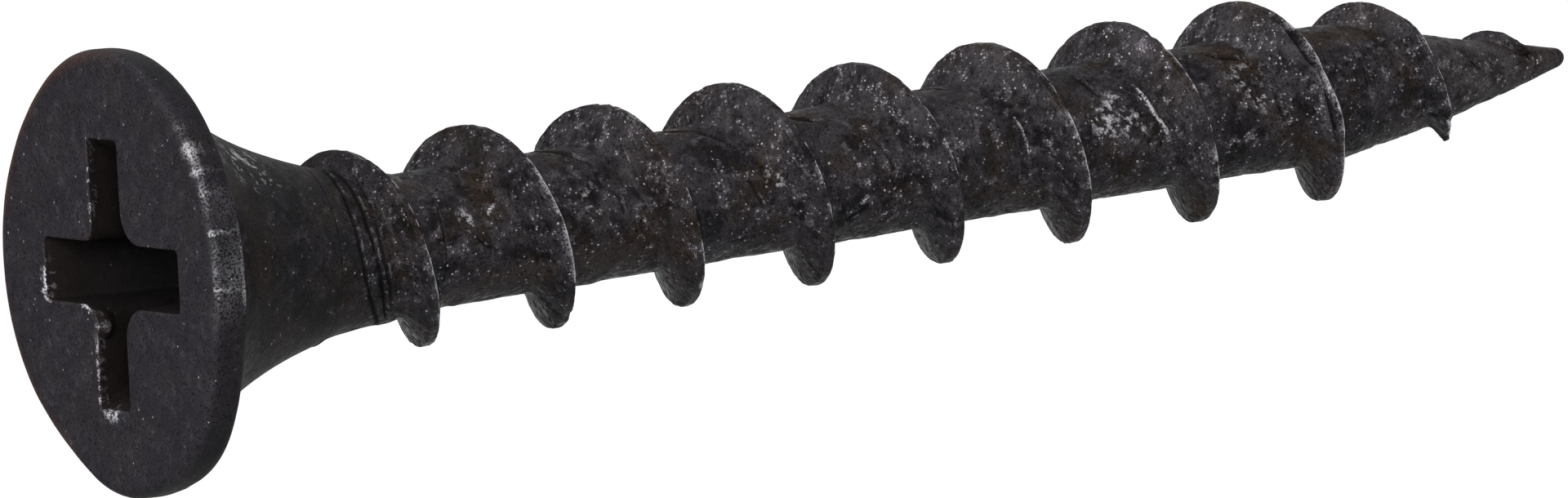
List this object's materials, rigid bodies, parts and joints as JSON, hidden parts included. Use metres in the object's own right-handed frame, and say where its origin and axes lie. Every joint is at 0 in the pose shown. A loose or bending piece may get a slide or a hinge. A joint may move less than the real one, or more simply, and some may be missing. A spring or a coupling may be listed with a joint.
{
  "type": "wood screw",
  "caption": "Black bugle-head wood screw with a cross recess, coarse single-start right-hand thread and sharp point.",
  "frame": {"origin": "centre of the head's flat top face, on the screw's axis", "axes": "+Z out of the head towards the driver, shank down -Z; X and Y along the wings of the cross recess"},
  "size_m": [0.0082, 0.0082, 0.0318],
  "materials": {
    "head_face": "fine matte black phosphate",
    "neck": "smooth satin black phosphate",
    "thread_root": "pitted black phosphate with fine lap marks",
    "thread": "crystalline black phosphate, worn on the crest",
    "point": "pinched, slightly rough black phosphate"
  },
  "bodies": {
    "root": {"head": "head_face", "neck": "neck", "core": "thread_root", "thread": "thread", "point": "point"}
  },
  "joints": []
}
